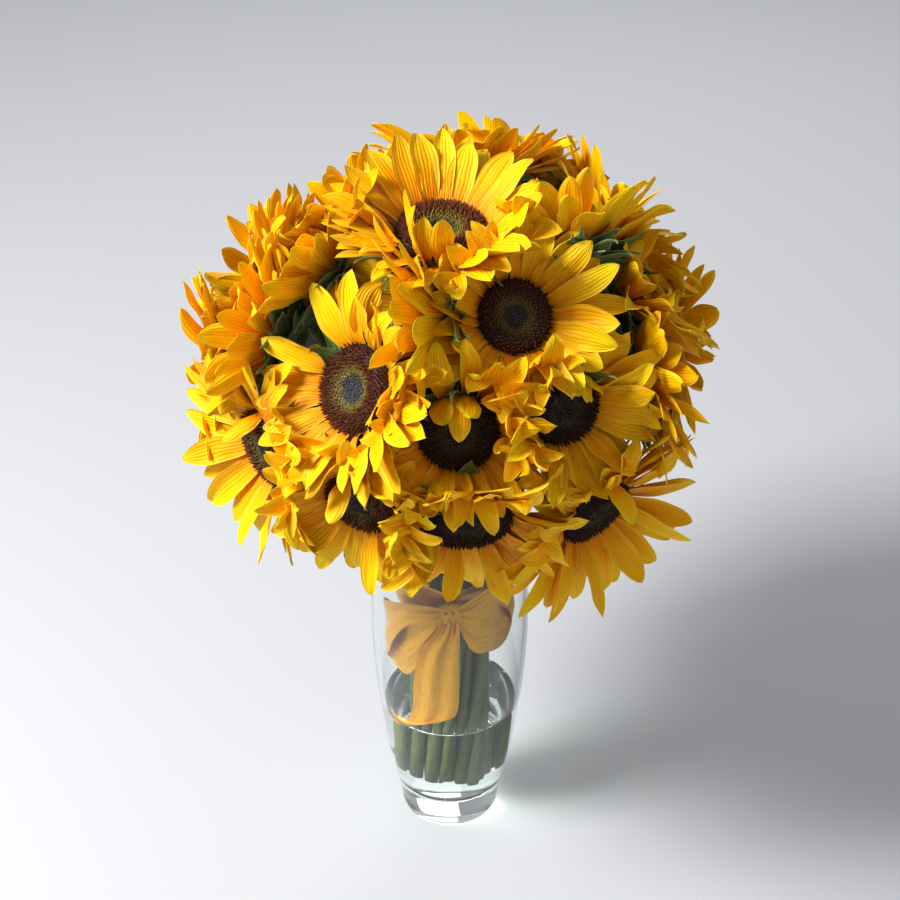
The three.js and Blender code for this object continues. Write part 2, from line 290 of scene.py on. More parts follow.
def bractGreen():
    material, tree, bsdf = newMaterial("bractGreen")
    tone = attributeValue(tree, "tone")
    vein = veins(tree, 2.5, 0.2, tone)
    body = ramp(tree, vein.outputs["Along"], [
        (0.0, (0.05, 0.11, 0.02)), (0.5, (0.085, 0.18, 0.03)), (0.85, (0.15, 0.25, 0.06)),
        (1.0, (0.26, 0.32, 0.10))])
    color = mixColor(tree, mathNode(tree, "MULTIPLY", tone, 0.6), body, (0.05, 0.11, 0.025))
    edge = mathNode(tree, "MULTIPLY", vein.outputs["Edge"], 0.8)
    color = mixColor(tree, edge, color, (0.38, 0.46, 0.20))
    down = objectNoise(tree, 520.0, 3.0)
    color = mixColor(tree, mathNode(tree, "MULTIPLY", down, 0.12), color, (0.30, 0.38, 0.16))
    link(tree, color, bsdf.inputs["Base Color"])
    link(tree, mathNode(tree, "MULTIPLY_ADD", down, 0.2, 0.5), bsdf.inputs["Roughness"])
    bsdf.inputs["Sheen Weight"].default_value = 0.08
    bsdf.inputs["Sheen Roughness"].default_value = 0.45
    bsdf.inputs["Specular IOR Level"].default_value = 0.25
    height = mathNode(tree, "MULTIPLY_ADD", down, 0.7, vein.outputs["Vein"])
    bumpFrom(tree, height, 0.5, 0.0004, bsdf)
    return material


def stemGreen():
    material, tree, bsdf = newMaterial("stemGreen")
    streak = objectNoise(tree, 260.0, 4.0, (1, 1, 0.06))
    patch = objectNoise(tree, 30.0, 2.0, (1, 1, 0.3))
    color = ramp(tree, streak, [
        (0.3, (0.04, 0.07, 0.012)), (0.55, (0.085, 0.125, 0.026)), (0.75, (0.16, 0.195, 0.055))])
    color = mixColor(tree, mathNode(tree, "MULTIPLY", patch, 0.35), color, (0.14, 0.13, 0.04))
    link(tree, color, bsdf.inputs["Base Color"])
    link(tree, mathNode(tree, "MULTIPLY_ADD", streak, 0.25, 0.38), bsdf.inputs["Roughness"])
    bsdf.inputs["Subsurface Weight"].default_value = 0.1
    bsdf.inputs["Subsurface Scale"].default_value = 0.002
    bumpFrom(tree, streak, 0.6, 0.0006, bsdf)
    return material


# shadow rays pass straight through, so that what is inside the vase is lit
def letLightIn(tree, bsdf, tint):
    rays = addNode(tree, "ShaderNodeLightPath")
    through = addNode(tree, "ShaderNodeBsdfTransparent", {"Color": tint})
    mixed = addNode(tree, "ShaderNodeMixShader")
    link(tree, rays.outputs["Is Shadow Ray"], mixed.inputs[0])
    link(tree, bsdf.outputs["BSDF"], mixed.inputs[1])
    link(tree, through.outputs["BSDF"], mixed.inputs[2])
    link(tree, mixed.outputs["Shader"], tree.nodes["Material Output"].inputs["Surface"])


def clearGlass():
    material, tree, bsdf = newMaterial("clearGlass")
    bsdf.inputs["Base Color"].default_value = (0.96, 0.99, 0.985, 1)
    bsdf.inputs["IOR"].default_value = 1.42
    bsdf.inputs["Transmission Weight"].default_value = 1.0
    bsdf.inputs["Specular IOR Level"].default_value = 0.4
    draw = objectNoise(tree, 22.0, 1.0, (1, 1, 0.35))
    link(tree, mathNode(tree, "MULTIPLY", draw, 0.03), bsdf.inputs["Roughness"])
    bumpFrom(tree, draw, 0.12, 0.0006, bsdf)
    letLightIn(tree, bsdf, (0.93, 0.95, 0.94, 1))
    return material


def stillWater():
    material, tree, bsdf = newMaterial("stillWater")
    bsdf.inputs["Base Color"].default_value = (0.95, 0.975, 0.95, 1)
    bsdf.inputs["IOR"].default_value = 1.33
    bsdf.inputs["Transmission Weight"].default_value = 1.0
    cloud = objectNoise(tree, 40.0, 2.0)
    link(tree, mathNode(tree, "MULTIPLY", cloud, 0.02), bsdf.inputs["Roughness"])
    letLightIn(tree, bsdf, (0.96, 0.98, 0.96, 1))
    return material


def goldSatin():
    material, tree, bsdf = newMaterial("goldSatin")
    uv = addNode(tree, "ShaderNodeTexCoord").outputs["UV"]
    mapping = addNode(tree, "ShaderNodeMapping")
    mapping.inputs["Scale"].default_value = (260.0, 9.0, 1.0)
    link(tree, uv, mapping.inputs["Vector"])
    thread = addNode(tree, "ShaderNodeTexNoise", {"Scale": 1.0, "Detail": 2.0})
    link(tree, mapping.outputs["Vector"], thread.inputs["Vector"])
    slub = objectNoise(tree, 60.0, 3.0)
    color = ramp(tree, thread.outputs["Fac"], [
        (0.3, (0.56, 0.25, 0.008)), (0.55, (0.74, 0.36, 0.014)), (0.8, (0.88, 0.48, 0.03))])
    color = mixColor(tree, mathNode(tree, "MULTIPLY", slub, 0.25), color, (0.62, 0.26, 0.008))
    link(tree, color, bsdf.inputs["Base Color"])
    link(tree, mathNode(tree, "MULTIPLY_ADD", thread.outputs["Fac"], 0.18, 0.2), bsdf.inputs["Roughness"])
    bsdf.inputs["Metallic"].default_value = 0.55
    bsdf.inputs["Specular IOR Level"].default_value = 0.2
    bsdf.inputs["Sheen Weight"].default_value = 0.06
    bsdf.inputs["Sheen Roughness"].default_value = 0.3
    bsdf.inputs["Anisotropic"].default_value = 0.5
    bumpFrom(tree, thread.outputs["Fac"], 0.25, 0.0002, bsdf)
    return material


finishes = {
    "petal": petalYellow(), "disc": discFlorets(), "bract": bractGreen(), "stem": stemGreen(),
    "glass": clearGlass(), "water": stillWater(), "satin": goldSatin(),
}
print("materials ready")


# mesh helpers: this one reads a modelled piece as arrays, so that it can be copied and shaped
def blankFrom(piece):
    mesh = piece.data
    points = np.zeros(len(mesh.vertices) * 3)
    mesh.vertices.foreach_get("co", points)
    corners = np.zeros(len(mesh.loops), dtype=np.int32)
    mesh.loops.foreach_get("vertex_index", corners)
    starts = np.zeros(len(mesh.polygons), dtype=np.int32)
    mesh.polygons.foreach_get("loop_start", starts)
    uv = np.zeros(len(mesh.loops) * 2)
    mesh.uv_layers.active.data.foreach_get("uv", uv)
    bpy.data.objects.remove(piece, do_unlink=True)
    return {"points": points.reshape(-1, 3), "corners": corners, "starts": starts, "uv": uv}


# one mesh from many shaped copies of a blank; placed is copies x points x 3
def meshOfCopies(name, blank, placed, marks):
    count, size = placed.shape[:2]
    mesh = bpy.data.meshes.new(name)
    corners = (blank["corners"][None, :] + size * np.arange(count)[:, None]).ravel()
    starts = (blank["starts"][None, :] + len(blank["corners"]) * np.arange(count)[:, None]).ravel()
    mesh.vertices.add(count * size)
    mesh.vertices.foreach_set("co", placed.ravel())
    mesh.loops.add(len(corners))
    mesh.loops.foreach_set("vertex_index", corners.astype(np.int32))
    mesh.polygons.add(len(starts))
    mesh.polygons.foreach_set("loop_start", starts.astype(np.int32))
    mesh.uv_layers.new(name="UVMap").data.foreach_set("uv", np.tile(blank["uv"], count))
    for mark, values in marks.items():
        data = mesh.attributes.new(mark, "FLOAT", "POINT").data
        data.foreach_set("value", np.broadcast_to(values, (count, size)).astype(np.float32).ravel())
    mesh.update(calc_edges=True)
    mesh.validate()
    piece = bpy.data.objects.new(name, mesh)
    bpy.context.scene.collection.objects.link(piece)
    return piece


def smooth(piece, angle):
    bpy.ops.object.select_all(action="DESELECT")
    bpy.context.view_layer.objects.active = piece
    piece.select_set(True)
    bpy.ops.object.shade_smooth_by_angle(angle=math.radians(angle))
    piece.select_set(False)


def finishPiece(piece, finish, nodes):
    piece.data.materials.clear()
    piece.data.materials.append(finishes[finish])
    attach(piece, "root")
    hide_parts(*nodes)


def applyModifier(piece, kind, **settings):
    bpy.ops.object.select_all(action="DESELECT")
    bpy.context.view_layer.objects.active = piece
    piece.select_set(True)
    modifier = piece.modifiers.new(kind.lower(), kind)
    for key, value in settings.items():
        setattr(modifier, key, value)
    bpy.ops.object.modifier_apply(modifier=modifier.name)
    piece.select_set(False)


# Each flower: place on the dome and facing (degrees from the top, degrees round from the
# front towards +X), disc radius and distance out in mm, as in the design. ripeAndShade is how dark
# the disc is painted, both for ripeness and as painted shade on the discs that sit in shadow; cup
# how far the petals stand up, crush how crumpled they are at least, and past how far they may
# reach over the neighbours. Clock angles run from 0 at the right through 90 at
# the top, as seen from the front: fold lists single petals that lean over the disc (clock angle,
# lean, length), bare and gap are where no petals or no back petals grow, and the green leaves
# of the cup stand up there. grown scales the length of the petals, and nod raises those on one
# side and lowers the others (clock angle, degrees).
flowers = [
    {"place": (27, -5), "face": (10, -10), "disc": 26.5, "reach": 143, "ripeAndShade": 0.0, "cup": 34,
     "fold": [(252, 118, 30), (275, 112, 34)]},
    {"place": (50, 20), "face": (52, 14), "disc": 21.5, "reach": 143, "ripeAndShade": 0.5, "cup": 22,
     "crush": 0.15, "fold": []},
    {"place": (68, -25), "face": (62, -48), "disc": 26, "reach": 143, "ripeAndShade": 0.0, "cup": 24,
     "crush": 0.12, "bare": (114, 148), "fold": []},
    {"place": (76, 2), "face": (80, 2), "disc": 23, "reach": 143, "ripeAndShade": 1.0, "cup": 34,
     "crush": 0.45, "gap": (96, 138), "fold": [(92, 150, 36), (75, 120, 26), (118, 125, 28)]},
    {"place": (74, 29), "face": (78, 25), "disc": 22, "reach": 143, "ripeAndShade": 1.0, "cup": 38,
     "crush": 0.5, "gap": (55, 125), "fold": [(80, 140, 28), (105, 130, 26), (62, 125, 24)]},
    {"place": (94, -52), "face": (96, -57), "disc": 24, "reach": 143, "ripeAndShade": 0.5, "cup": 14,
     "grown": 1.1, "nod": (200, 22), "fold": [(60, 130, 30)]},
    {"place": (98, -22), "face": (105, -26), "disc": 22, "reach": 144, "ripeAndShade": 0.7, "cup": 22,
     "crush": 0.2, "fold": [(85, 140, 32)]},
    {"place": (101, 4), "face": (112, 4), "disc": 27, "reach": 143, "ripeAndShade": 1.0, "cup": 28,
     "crush": 0.25, "fold": []},
    {"place": (108, 40), "face": (110, 40), "disc": 24, "reach": 145, "ripeAndShade": 1.0, "cup": 16,
     "crush": 0.1, "grown": 1.18, "nod": (-30, 26), "fold": [(110, 130, 30)]},
    {"place": (49, -10), "face": (80, -74), "disc": 23, "reach": 131, "ripeAndShade": 0.4, "cup": 50,
     "past": 34, "grown": 1.15, "fold": []},
    {"place": (68, -66), "face": (80, -108), "disc": 24, "reach": 126, "ripeAndShade": 0.3, "cup": 30, "fold": []},
    {"place": (42, -62), "face": (60, -118), "disc": 24, "reach": 120, "ripeAndShade": 0.4, "cup": 30, "fold": []},
    {"place": (24, 165), "face": (30, 178), "disc": 24, "reach": 120, "ripeAndShade": 0.2, "cup": 30, "fold": []},
    {"place": (38, 56), "face": (46, -168), "disc": 23, "reach": 136, "ripeAndShade": 0.4, "cup": 36, "fold": []},
    {"place": (60, 74), "face": (60, 104), "disc": 24, "reach": 131, "ripeAndShade": 0.4, "cup": 30, "fold": []},
    {"place": (77, 62), "face": (80, 100), "disc": 24, "reach": 136, "ripeAndShade": 0.5, "cup": 26, "fold": []},
    {"place": (58, 112), "face": (58, 114), "disc": 25, "reach": 131, "ripeAndShade": 0.2, "cup": 20, "fold": []},
    {"place": (57, 154), "face": (57, 155), "disc": 26, "reach": 124, "ripeAndShade": 0.0, "cup": 18, "fold": []},
    {"place": (74, -156), "face": (72, -156), "disc": 25, "reach": 122, "ripeAndShade": 0.3, "cup": 20, "fold": []},
    {"place": (82, -112), "face": (80, -112), "disc": 25, "reach": 126, "ripeAndShade": 0.6, "cup": 18, "fold": []},
    {"place": (47, -124), "face": (46, -124), "disc": 25, "reach": 110, "ripeAndShade": 0.1, "cup": 24, "fold": []},
    {"place": (96, -92), "face": (98, -94), "disc": 24, "reach": 143, "ripeAndShade": 0.5, "cup": 18, "fold": []},
    {"place": (92, -130), "face": (94, -130), "disc": 25, "reach": 143, "ripeAndShade": 0.2, "cup": 18, "fold": []},
    {"place": (88, -174), "face": (90, -174), "disc": 25, "reach": 143, "ripeAndShade": 0.6, "cup": 18, "fold": []},
    {"place": (90, 144), "face": (92, 144), "disc": 25, "reach": 143, "ripeAndShade": 0.1, "cup": 20, "fold": []},
    {"place": (96, 104), "face": (98, 102), "disc": 24, "reach": 143, "ripeAndShade": 0.4, "cup": 18, "fold": []},
]
dome = {"height": 369, "neighbourWithin": 150}


def direction(fromTop, fromFront):
    tilt, turn = math.radians(fromTop), math.radians(fromFront)
    return np.array([math.sin(tilt) * math.sin(turn), -math.sin(tilt) * math.cos(turn), math.cos(tilt)])


# every flower gets its centre and three axes: right and up as the front view shows them, and out
def placeFlowers():
    tilt = math.radians(stage["cameraTilt"])
    viewUp = np.array([0, math.cos(tilt), math.sin(tilt)])
    for index, flower in enumerate(flowers):
        out = direction(*flower["face"])
        up = viewUp - out * out.dot(viewUp)
        up /= np.linalg.norm(up)
        flower["centre"] = np.array([0, 0, dome["height"]]) + flower["reach"] * direction(*flower["place"])
        flower["axes"] = (np.cross(up, out), up, out)
        flower["number"] = f"{index + 1:02d}"
        flower["chance"] = np.random.default_rng(100 + index)
    for flower in flowers:
        flower["neighbours"] = [
            other["centre"] - flower["centre"] for other in flowers
            if other is not flower
            and np.linalg.norm(other["centre"] - flower["centre"]) < dome["neighbourWithin"]]


placeFlowers()


# how high a petal has to stand so that its tip stays on its own side of the neighbours
def standingAngle(flower, radial, rest, length, reachPast):
    out = flower["axes"][2]
    best = rest
    for gapTo in flower["neighbours"]:
        distance = np.linalg.norm(gapTo)
        towards = gapTo / distance
        sideways, upward = radial.dot(towards), out.dot(towards)
        if sideways < 0.12:
            continue
        angle = best
        limit = distance / 2 + reachPast
        while angle < 84:
            slope = math.radians(angle)
            tip = flower["disc"] * sideways + length * (math.cos(slope) * sideways + math.sin(slope) * upward)
            if tip <= limit:
                break
            angle += 3
        best = max(best, angle)
    return best


# flat leaf blank: X across from -1 to 1, Y along from 0 at the base to 1 at the tip, Z the two faces
def leafBlank(across, along):
    bpy.ops.mesh.primitive_grid_add(x_subdivisions=across, y_subdivisions=along, size=2)
    leaf = bpy.context.object
    applyModifier(leaf, "SOLIDIFY", thickness=2, offset=0)
    blank = blankFrom(leaf)
    blank["points"][:, 1] = 0.5 + 0.5 * blank["points"][:, 1]
    return blank


leafValues = (
    "clock", "length", "width", "rise", "bend", "curl", "curlFrom", "roll", "twist", "sweep",
    "channel", "ribs", "ripple", "waves", "phase", "crumple", "notch", "baseRadius", "baseHeight")


# Bends the blank into leaves. Each value in shape is one number per leaf; angles are in degrees.
# rise is the slope at the base, bend is added evenly along the leaf and curl from curlFrom on.
def shapeLeaves(blank, flower, shape, outline, thickness):
    right, up, out = flower["axes"]
    column = {key: np.asarray(value, dtype=float)[:, None] for key, value in shape.items()}
    across = blank["points"][None, :, 0]
    along = 1 - (1 - blank["points"][None, :, 1]) ** 1.2
    face = blank["points"][None, :, 2]
    rows, rowOf = np.unique(np.round(along[0], 5), return_inverse=True)
    late = np.clip((rows[None, :] - column["curlFrom"]) / (1 - column["curlFrom"]), 0, 1)
    slope = np.radians(column["rise"] + column["bend"] * rows[None, :] + column["curl"] * late ** 1.5)
    middle = 0.5 * (slope[:, 1:] + slope[:, :-1])
    step = np.diff(rows)[None, :] * column["length"]
    zero = np.zeros((len(slope), 1))
    outward = np.concatenate([zero, np.cumsum(np.cos(middle) * step, axis=1)], axis=1)[:, rowOf]
    upward = np.concatenate([zero, np.cumsum(np.sin(middle) * step, axis=1)], axis=1)[:, rowOf]
    slope = slope[:, rowOf]
    halfWidth = 0.5 * column["width"] * np.interp(along, outline[0], outline[1])
    halfWidth = halfWidth * (1 + 0.05 * np.sin(9 * along + column["phase"] + 2 * np.sign(across)))
    fade = np.sin(pi * np.clip(along, 0, 1)) ** 0.5
    relief = column["channel"] * across ** 2 * fade
    relief = relief + column["ribs"] * np.cos(2 * pi * across + 0.6 * np.sin(column["phase"])) * fade
    relief = relief + column["ripple"] * np.abs(across) ** 2 * np.sin(
        column["waves"] * 2 * pi * along + column["phase"] + 1.4 * np.sign(across))
    crumple = np.sin(7 * along + 2.2 * across + column["phase"])
    crumple = crumple + 0.7 * np.sin(13 * along - 3.1 * across + 2 * column["phase"])
    relief = relief + column["crumple"] * fade * crumple
    relief = relief + face * 0.5 * thickness * (1 - 0.55 * across ** 2)
    side = across * halfWidth
    notch = column["notch"] * (1 - np.abs(across)) * np.clip((along - 0.86) / 0.14, 0, 1)
    outward = outward - notch * np.cos(slope)
    upward = upward - notch * np.sin(slope)
    roll = np.radians(column["roll"] + column["twist"] * along)
    sideways = side * np.cos(roll) - relief * np.sin(roll) + column["sweep"] * along ** 2
    lift = side * np.sin(roll) + relief * np.cos(roll)
    clock = np.radians(column["clock"])
    radial = np.cos(clock)[..., None] * right + np.sin(clock)[..., None] * up
    tangent = -np.sin(clock)[..., None] * right + np.cos(clock)[..., None] * up
    reach = (column["baseRadius"] + outward - lift * np.sin(slope))[..., None]
    height = (column["baseHeight"] + upward + lift * np.cos(slope))[..., None]
    points = flower["centre"] + reach * radial + height * out + sideways[..., None] * tangent
    return points * mm


petal = {
    "frontCount": 21, "backCount": 20,
    "lengthLow": 39, "lengthHigh": 48,
    "widthLow": 13, "widthHigh": 17.5,
    "thickness": 0.34,
    "backLonger": 3,               # the back row's petals are this much longer
    "frontRise": 5, "backRise": -9,     # each row stands this much above or below the cup angle
    "frontFoot": -2.6, "backFoot": -5.4,
    "clockSpread": 3.2, "riseSpread": 6, "crushSpread": 14,
    "reachPast": 8,                # how far a tip may cross the middle line to the next flower
    "outline": ([0, 0.08, 0.2, 0.38, 0.55, 0.7, 0.82, 0.91, 0.97, 1.0],
                [0.56, 0.64, 0.80, 0.97, 1.0, 0.92, 0.74, 0.50, 0.26, 0.04]),
}
petalBlank = leafBlank(8, 12)


def petalRow(flower, count, front):
    chance = flower["chance"]
    right, up = flower["axes"][:2]
    shape = {key: [] for key in leafValues}
    start = 0 if front else 180 / count
    crush = flower.get("crush", 0)
    bareFrom, bareTo = flower.get("bare", (0, 0) if front else flower.get("gap", (0, 0)))
    for k in range(count):
        clock = start + 360 * k / count + chance.normal(0, petal["clockSpread"])
        if bareFrom < (clock + 180) % 360 - 180 < bareTo:
            continue
        radial = math.cos(math.radians(clock)) * right + math.sin(math.radians(clock)) * up
        length = chance.uniform(petal["lengthLow"], petal["lengthHigh"])
        length = (length + (0 if front else petal["backLonger"])) * flower.get("grown", 1)
        rest = flower["cup"] + petal["frontRise" if front else "backRise"]
        rest += chance.normal(0, petal["riseSpread"] + petal["crushSpread"] * crush)
        nodTo, nodBy = flower.get("nod", (0, 0))
        rest += nodBy * math.cos(math.radians(clock - nodTo))
        reachPast = flower.get("past", petal["reachPast"])
        stand = standingAngle(flower, radial, rest, 0.82 * length, reachPast)
        squeeze = min(1.0, max(crush * chance.uniform(0.5, 1.5), (stand - rest) / 45))
        length *= 1 - 0.24 * squeeze * chance.uniform(0.6, 1.2)
        turned = chance.random()
        curl = chance.normal(-6, 16) - squeeze * chance.uniform(-10, 60)
        if squeeze > 0.3 and turned < 0.3:
            curl = chance.uniform(40, 115)
        shape["clock"].append(clock)
        shape["length"].append(length)
        shape["width"].append(chance.uniform(petal["widthLow"], petal["widthHigh"]) * (1 - 0.1 * squeeze))
        shape["rise"].append(stand)
        shape["bend"].append(chance.normal(-13, 9) - 14 * squeeze)
        shape["curl"].append(curl)
        shape["curlFrom"].append(chance.uniform(0.35, 0.65))
        shape["roll"].append(9 + chance.normal(0, 7) + squeeze * chance.normal(0, 18))
        shape["twist"].append(chance.normal(0, 12) + squeeze * chance.normal(0, 40))
        shape["sweep"].append(chance.normal(0, 2.2) + squeeze * chance.normal(0, 9))
        shape["channel"].append(chance.normal(1.0, 1.3) + squeeze * chance.normal(0, 1.5))
        shape["ribs"].append(chance.uniform(0.25, 0.6))
        shape["ripple"].append(abs(chance.normal(0.5, 0.35)) + squeeze * chance.uniform(0.3, 1.3))
        shape["waves"].append(chance.uniform(1.2, 2.6))
        shape["phase"].append(chance.uniform(0, 2 * pi))
        shape["crumple"].append(chance.uniform(0.1, 0.35) + squeeze * chance.uniform(0.2, 0.8))
        shape["notch"].append(chance.choice([0, 0, 0, 1.6, 2.4]))
        shape["baseRadius"].append(flower["disc"] + (0.2 if front else 1.2))
        shape["baseHeight"].append(petal["frontFoot" if front else "backFoot"])
    return shape


# single petals that lean in over the disc
def foldedPetals(flower, shape):
    chance = flower["chance"]
    for clock, lean, length in flower["fold"]:
        apart = [abs((other - clock + 180) % 360 - 180) for other in shape["clock"]]
        nearest = apart.index(min(apart))
        shape["clock"][nearest] = clock
        shape["length"][nearest] = length
        shape["width"][nearest] = 14.5
        shape["rise"][nearest] = min(88, 0.62 * lean)
        shape["bend"][nearest] = lean - shape["rise"][nearest]
        shape["curl"][nearest] = chance.uniform(-30, 10)
        shape["roll"][nearest] = chance.normal(0, 6)
        shape["twist"][nearest] = chance.normal(0, 8)
        shape["sweep"][nearest] = 0
        shape["crumple"][nearest] = 0.25


def makePetals(flower):
    frontRow = petalRow(flower, petal["frontCount"], True)
    backRow = petalRow(flower, petal["backCount"], False)
    foldedPetals(flower, frontRow)
    shape = {key: frontRow[key] + backRow[key] for key in frontRow}
    points = shapeLeaves(petalBlank, flower, shape, petal["outline"], petal["thickness"])
    tone = flower["chance"].uniform(0, 1, (len(points), 1))
    piece = meshOfCopies("rayPetals" + flower["number"], petalBlank, points, {"tone": tone})
    smooth(piece, 50)
    finishPiece(piece, "petal", ["petals_" + flower["number"]])


for flower in flowers:
    makePetals(flower)
print("petals ready")


# green cup behind each head: a turned body and three rows of pointed bracts
calyx = {
    "rows": 3, "perRow": 10, "depth": 21, "neck": 5.0, "thickness": 0.45,
    "outline": ([0, 0.1, 0.25, 0.4, 0.55, 0.7, 0.85, 1.0],
                [0.78, 0.95, 1.0, 0.86, 0.58, 0.30, 0.12, 0.03]),
}
bractBlank = leafBlank(6, 9)


def turnedPiece(name, profile, flower, steps):
    mesh = bpy.data.meshes.new(name)
    mesh.from_pydata([(radius, 0, height) for radius, height in profile],
                     [(k, k + 1) for k in range(len(profile) - 1)], [])
    piece = bpy.data.objects.new(name, mesh)
    bpy.context.scene.collection.objects.link(piece)
    bpy.ops.object.select_all(action="DESELECT")
    bpy.context.view_layer.objects.active = piece
    piece.select_set(True)
    bpy.ops.object.mode_set(mode="EDIT")
    bpy.ops.mesh.select_all(action="SELECT")
    bpy.ops.mesh.spin(steps=steps, angle=2 * pi, center=(0, 0, 0), axis=(0, 0, 1))
    bpy.ops.mesh.select_all(action="SELECT")
    bpy.ops.mesh.remove_doubles(threshold=0.00002)
    bpy.ops.mesh.normals_make_consistent(inside=False)
    bpy.ops.object.mode_set(mode="OBJECT")
    piece.select_set(False)
    if flower:
        points = np.zeros(len(mesh.vertices) * 3)
        mesh.vertices.foreach_get("co", points)
        turned = flower["centre"] * mm + points.reshape(-1, 3) @ np.array(flower["axes"])
        mesh.vertices.foreach_set("co", turned.ravel())
        mesh.update()
    return piece


def joinPieces(pieces):
    bpy.ops.object.select_all(action="DESELECT")
    for piece in pieces:
        piece.select_set(True)
    bpy.context.view_layer.objects.active = pieces[0]
    bpy.ops.object.join()
    pieces[0].select_set(False)
    return pieces[0]


def markPoints(piece, name, value):
    data = piece.data.attributes.new(name, "FLOAT", "POINT").data
    data.foreach_set("value", np.full(len(piece.data.vertices), value, dtype=np.float32))


def makeCalyx(flower):
    chance = flower["chance"]
    disc = flower["disc"]
    shape = {key: [] for key in leafValues}
    openFrom, openTo = flower.get("gap", flower.get("bare", (0, 0)))
    for row in range(calyx["rows"]):
        share = row / (calyx["rows"] - 1)
        for k in range(calyx["perRow"]):
            clock = 360 * (k + 0.33 * row) / calyx["perRow"] + chance.normal(0, 4)
            free = openFrom < (clock + 180) % 360 - 180 < openTo
            shape["clock"].append(clock)
            shape["length"].append(chance.uniform(29, 37) + (4 if free else 0))
            shape["width"].append(chance.uniform(15, 19) - (4 if free else 0))
            shape["rise"].append(3 + 10 * share + chance.normal(0, 5) + (42 * share if free else 0))
            shape["bend"].append(chance.normal(-6, 7))
            shape["curl"].append(chance.normal(-15, 60 if free else 35))
            shape["curlFrom"].append(chance.uniform(0.4, 0.65))
            shape["roll"].append(chance.normal(0, 7))
            shape["twist"].append(chance.normal(0, 50 if free else 14))
            shape["sweep"].append(chance.normal(0, 2.5))
            shape["channel"].append(0.9)
            shape["ribs"].append(0.3)
            shape["ripple"].append(chance.uniform(0.1, 0.6))
            shape["waves"].append(1.5)
            shape["phase"].append(chance.uniform(0, 2 * pi))
            shape["crumple"].append(0.15)
            shape["notch"].append(0)
            shape["baseRadius"].append(disc * (0.42 + 0.36 * share))
            shape["baseHeight"].append(-17.5 + 6.0 * share)
    points = shapeLeaves(bractBlank, flower, shape, calyx["outline"], calyx["thickness"])
    tone = chance.uniform(0, 0.8, (len(points), 1))
    leaves = meshOfCopies("greenCup" + flower["number"], bractBlank, points, {"tone": tone})
    depth, neck = calyx["depth"], calyx["neck"]
    profile = [(0, -depth - 1), (neck * 0.7, -depth - 1), (neck, -depth), (neck * 1.3, -depth + 1.6),
               (disc * 0.46, -17), (disc * 0.72, -13), (disc * 0.95, -8), (disc * 1.02, -5),
               (disc * 0.98, -3), (disc * 0.6, -2.5), (0, -2.5)]
    cup = turnedPiece("cupBody", [(r * mm, h * mm) for r, h in profile], flower, 32)
    cup.data.uv_layers.new(name="UVMap")
    markPoints(cup, "tone", 0.5)
    piece = joinPieces([leaves, cup])
    smooth(piece, 50)
    finishPiece(piece, "bract", ["stem_" + flower["number"]])


for flower in flowers:
    makeCalyx(flower)
print("green cups ready")


# seed disc: a low cushion covered with florets set in a sunflower spiral
seeds = {"countAt26": 640, "sides": 4, "goldenAngle": 137.508}


def floretBlank():
    bpy.ops.mesh.primitive_cylinder_add(vertices=seeds["sides"], radius=1, depth=1, location=(0, 0, 0.5))
    bud = bpy.context.object
    bpy.ops.object.mode_set(mode="EDIT")
    bpy.ops.mesh.select_all(action="DESELECT")
    bpy.ops.mesh.select_mode(type="FACE")
    bpy.ops.object.mode_set(mode="OBJECT")
    top = max(bud.data.polygons, key=lambda face: face.center.z)
    top.select = True
    bpy.ops.object.mode_set(mode="EDIT")
    bpy.ops.mesh.extrude_region_move(TRANSFORM_OT_translate={"value": (0, 0, 1)})
    bpy.ops.mesh.merge(type="CENTER")
    bpy.ops.object.mode_set(mode="OBJECT")
    bpy.ops.object.transform_apply(location=True, rotation=True, scale=True)
    return blankFrom(bud)


bud = floretBlank()


def discHeight(ring):
    return 2.4 * np.exp(-((ring - 0.74) / 0.26) ** 2) - 1.2 * np.exp(-(ring / 0.3) ** 2) - 3.5 * ring ** 10


